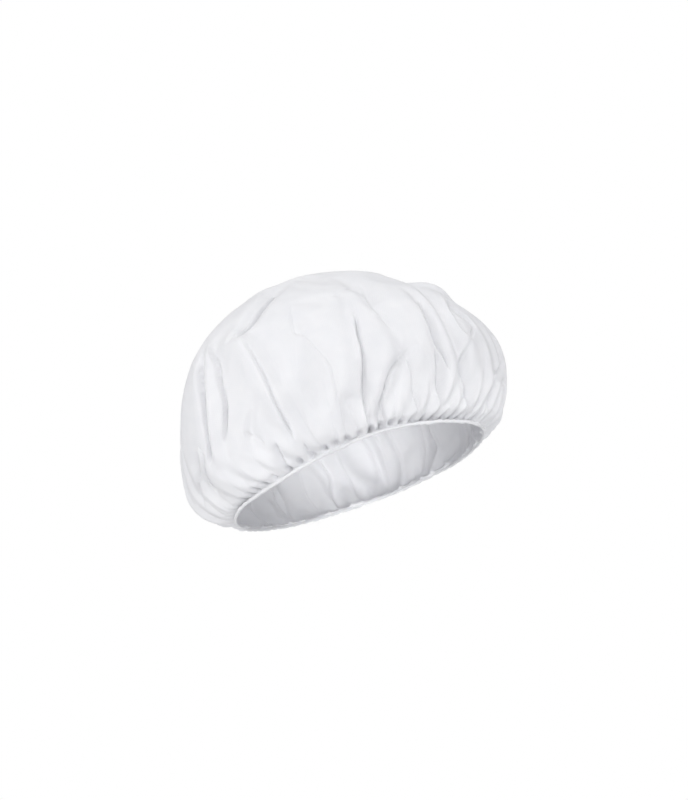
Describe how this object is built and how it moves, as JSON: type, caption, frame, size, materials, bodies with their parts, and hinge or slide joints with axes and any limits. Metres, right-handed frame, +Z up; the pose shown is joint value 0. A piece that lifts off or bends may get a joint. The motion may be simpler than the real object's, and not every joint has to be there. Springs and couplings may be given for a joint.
{
  "type": "disposable hair cap",
  "caption": "Disposable bouffant hair cap: a puffed crown of thin white nonwoven cloth gathered all round onto a narrow elastic hem, open below for the head.",
  "frame": {"origin": "middle of the opening, level with the lower edge of the hem at the front and back, where a head enters", "axes": "+Z up through the crown, +X towards the front along the oval opening's long axis, +Y towards one side"},
  "size_m": [0.2644, 0.2169, 0.1661],
  "materials": {
    "cloth": "matte thin nonwoven cloth, slightly see-through",
    "hem": "matte nonwoven cloth gathered over elastic"
  },
  "bodies": {
    "root": {"crown": "cloth", "elastic_band": "hem"}
  },
  "joints": []
}
